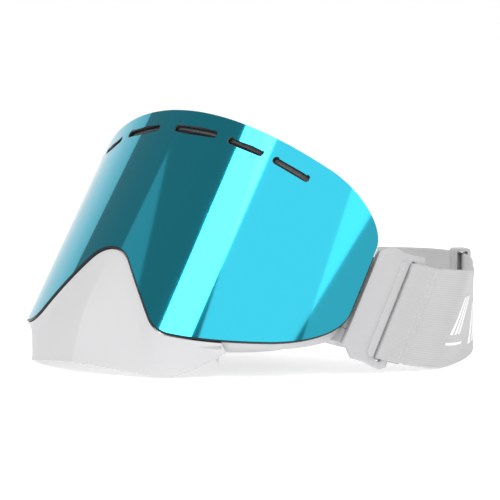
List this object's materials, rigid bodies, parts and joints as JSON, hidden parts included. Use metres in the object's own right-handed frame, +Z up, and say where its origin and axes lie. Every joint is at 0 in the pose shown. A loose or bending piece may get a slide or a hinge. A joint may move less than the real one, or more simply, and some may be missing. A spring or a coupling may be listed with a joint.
{
  "type": "ski goggles",
  "caption": "Ski goggles with a large one-piece cylindrical mirror lens, foam-lined frame, clip-on nose guard, hinged outriggers and a wide adjustable elastic strap.",
  "frame": {"origin": "middle of the footprint, on the floor that the nose guard's rim and the strap's lower edge stand on", "axes": "+Z up, -Y the way the lens faces, +X the wearer's left-hand side, X = 0 the middle of the nose. Left and right in node names are as seen from in front."},
  "size_m": [0.198, 0.2272, 0.106],
  "materials": {
    "mirror_lens": "blue-cyan mirror coating on polycarbonate",
    "clear_lens": "clear anti-fog sheet",
    "seal_foam": "matt seal foam",
    "carrier_plastic": "matt moulded",
    "magnet": "nickel plated",
    "frame_rubber": "satin thermoplastic rubber",
    "pin_steel": "drawn",
    "vent_foam": "open-cell foam",
    "firm_foam": "firm closed-cell foam",
    "soft_foam": "soft open-cell foam",
    "fleece": "brushed fleece",
    "guard_rubber": "satin thermoplastic rubber",
    "outrigger_plastic": "fine satin moulding",
    "webbing": "woven elastic webbing with a pale printed pattern",
    "slider_plastic": "satin moulding"
  },
  "bodies": {
    "frame": {"frame": "frame_rubber", "frame_magnets": "magnet", "hinge_pin_left": "pin_steel", "hinge_pin_right": "pin_steel", "vent_foam_top": "vent_foam", "vent_foam_low_left": "vent_foam", "vent_foam_low_right": "vent_foam", "foam_base": "firm_foam", "foam_core": "soft_foam", "foam_fleece": "fleece", "strap_left": "webbing", "strap_right": "webbing"},
    "lens": {"outer_lens": "mirror_lens", "inner_lens": "clear_lens", "lens_spacer": "seal_foam", "lens_carrier": "carrier_plastic", "lens_magnets": "magnet"},
    "nose_guard": {"nose_guard": "guard_rubber"},
    "outrigger_left": {"outrigger_left": "outrigger_plastic", "strap_loop_left": "webbing"},
    "outrigger_right": {"outrigger_right": "outrigger_plastic", "strap_loop_right": "webbing"},
    "slider_left": {"strap_slider_left": "slider_plastic"},
    "slider_right": {"strap_slider_right": "slider_plastic"}
  },
  "joints": [
    {"name": "lens_pull", "type": "slide", "parent": "frame", "child": "lens", "axis": [0, -0.8457, 0.5336], "range_m": [0, 0.03]},
    {"name": "guard_pull", "type": "slide", "parent": "frame", "child": "nose_guard", "axis": [0, -0.5336, -0.8457], "range_m": [0, 0.014]},
    {"name": "outrigger_left_swing", "type": "hinge", "parent": "frame", "child": "outrigger_left", "pos_m": [-0.08128, -0.03065, 0.02949], "axis": [0, 0.5336, 0.8457], "range_deg": [-15, 12], "deforming": ["strap_left"]},
    {"name": "outrigger_right_swing", "type": "hinge", "parent": "frame", "child": "outrigger_right", "pos_m": [0.08128, -0.03065, 0.02949], "axis": [0, 0.5336, 0.8457], "range_deg": [-12, 15], "deforming": ["strap_right"]},
    {"name": "slider_left_travel", "type": "slide", "parent": "frame", "child": "slider_left", "axis": [0.7813, 0.6242, 0], "range_m": [-0.005, 0.005]},
    {"name": "slider_right_travel", "type": "slide", "parent": "frame", "child": "slider_right", "axis": [-0.7813, 0.6242, 0], "range_m": [-0.005, 0.005]}
  ]
}
